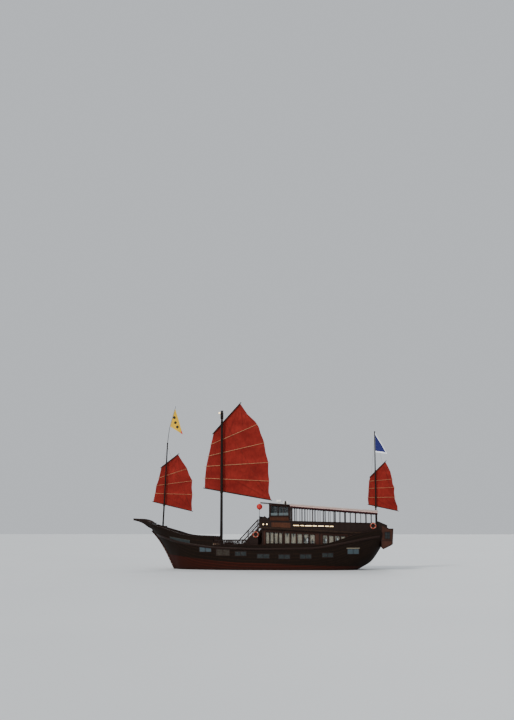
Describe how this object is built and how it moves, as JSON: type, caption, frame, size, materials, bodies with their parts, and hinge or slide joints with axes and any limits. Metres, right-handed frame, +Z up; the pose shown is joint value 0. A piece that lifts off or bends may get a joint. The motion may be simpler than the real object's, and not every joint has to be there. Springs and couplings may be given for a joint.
{
  "type": "excursion junk",
  "caption": "Wooden excursion junk with three red battened lug sails, a saloon, an open canopied upper deck, a wheelhouse and a stern gallery.",
  "frame": {"origin": "on the waterline amidships, on the centreline", "axes": "+X runs aft to the stern, +Y to starboard, +Z up"},
  "size_m": [28.3589, 7.7464, 20.0216],
  "materials": {
    "hull_wood": "near-black brown planking, dull varnish, with a dark red-brown band at the waterline",
    "trim_wood": "dark brown varnished rails, strakes and beams",
    "cabin_wood": "red-brown vertical planks, satin varnish",
    "deck_wood": "worn deck planks, matt",
    "spar_wood": "dark brown varnished poles",
    "sail_cloth": "red-orange sailcloth, matt, weathered",
    "canopy_cloth": "pale pinkish canvas over boards",
    "valance_cloth": "maroon cloth",
    "yellow_cloth": "yellow flag cloth with a red tip",
    "blue_cloth": "blue flag cloth with a white border",
    "lantern_cloth": "red lantern cloth",
    "ring_plastic": "orange-red life ring",
    "white_plastic": "white gelcoat",
    "bronze": "propeller bronze, dull",
    "black_iron": "black painted iron",
    "curtain_cloth": "white cotton curtains",
    "window_glass": "thin window glass, a little dusty",
    "lamp_glow": "warm white lamps",
    "rope": "laid hemp rope"
  },
  "bodies": {
    "hull": {"balustrade_port": "trim_wood", "balustrade_starboard": "trim_wood", "bow_transom": "trim_wood", "bow_wing_port": "trim_wood", "bow_wing_starboard": "trim_wood", "bulwark_port": "hull_wood", "bulwark_starboard": "hull_wood", "canopy": "canopy_cloth", "canopy_beam_aft": "trim_wood", "canopy_beam_fore": "trim_wood", "fore_flag": "yellow_cloth", "fore_mast": "spar_wood", "gallery": "cabin_wood", "helm": "cabin_wood", "hull": "hull_wood", "keel": "hull_wood", "lantern": "lantern_cloth", "life_ring_aft_port": "ring_plastic", "life_ring_aft_starboard": "ring_plastic", "life_ring_fore_port": "ring_plastic", "life_ring_fore_starboard": "ring_plastic", "main_mast": "spar_wood", "mizzen_flag": "blue_cloth", "mizzen_mast": "spar_wood", "platform_rail": "trim_wood", "radome": "white_plastic", "raft_canister": "white_plastic", "saloon": "cabin_wood", "stair_port": "cabin_wood", "stair_starboard": "cabin_wood", "stem": "hull_wood", "upper_bench_port": "deck_wood", "upper_bench_starboard": "deck_wood", "upper_deck": "deck_wood", "upper_side_port": "cabin_wood", "upper_side_starboard": "cabin_wood", "valance": "valance_cloth", "wale_port": "trim_wood", "wale_starboard": "trim_wood", "wheelhouse": "cabin_wood", "wheelhouse_roof": "trim_wood", "windlass_frame": "black_iron"},
    "fore_rig": {"fore_yard": "spar_wood", "fore_boom": "spar_wood", "fore_sail": "sail_cloth"},
    "main_rig": {"main_yard": "spar_wood", "main_boom": "spar_wood", "main_sail": "sail_cloth"},
    "mizzen_rig": {"mizzen_yard": "spar_wood", "mizzen_boom": "spar_wood", "mizzen_sail": "sail_cloth"},
    "rudder": {"rudder": "hull_wood"},
    "propeller": {"propeller": "bronze"},
    "saloon_door": {"saloon_door": "cabin_wood"},
    "wheelhouse_door": {"wheelhouse_door": "cabin_wood"},
    "windlass": {"windlass_barrel": "trim_wood"}
  },
  "joints": [
    {"name": "fore_rig_swing", "type": "hinge", "parent": "hull", "child": "fore_rig", "pos_m": [-10.77, 0, 3.733], "axis": [0.0434, 0, 0.9991], "range_deg": [-60, 60]},
    {"name": "main_rig_swing", "type": "hinge", "parent": "hull", "child": "main_rig", "pos_m": [-4.35, 0, 8], "axis": [0, 0, 1], "range_deg": [-60, 60]},
    {"name": "mizzen_rig_swing", "type": "hinge", "parent": "hull", "child": "mizzen_rig", "pos_m": [12.25, 0, 7], "axis": [0, 0, 1], "range_deg": [-60, 60]},
    {"name": "rudder_turn", "type": "hinge", "parent": "hull", "child": "rudder", "pos_m": [9.56, 0, -1.5], "axis": [0, 0, 1], "range_deg": [-35, 35]},
    {"name": "propeller_spin", "type": "hinge", "parent": "hull", "child": "propeller", "pos_m": [8.42, 0, -1.38], "axis": [1, 0, 0], "continuous": true},
    {"name": "saloon_door_swing", "type": "hinge", "parent": "hull", "child": "saloon_door", "pos_m": [0.28, -0.377, 1.9], "axis": [0, 0, 1], "range_deg": [0, 90]},
    {"name": "wheelhouse_door_swing", "type": "hinge", "parent": "hull", "child": "wheelhouse_door", "pos_m": [3.22, -0.377, 4.3], "axis": [0, 0, 1], "range_deg": [-90, 0]},
    {"name": "windlass_turn", "type": "hinge", "parent": "hull", "child": "windlass", "pos_m": [-9.3, 0, 3.664], "axis": [0, 1, 0], "continuous": true}
  ]
}
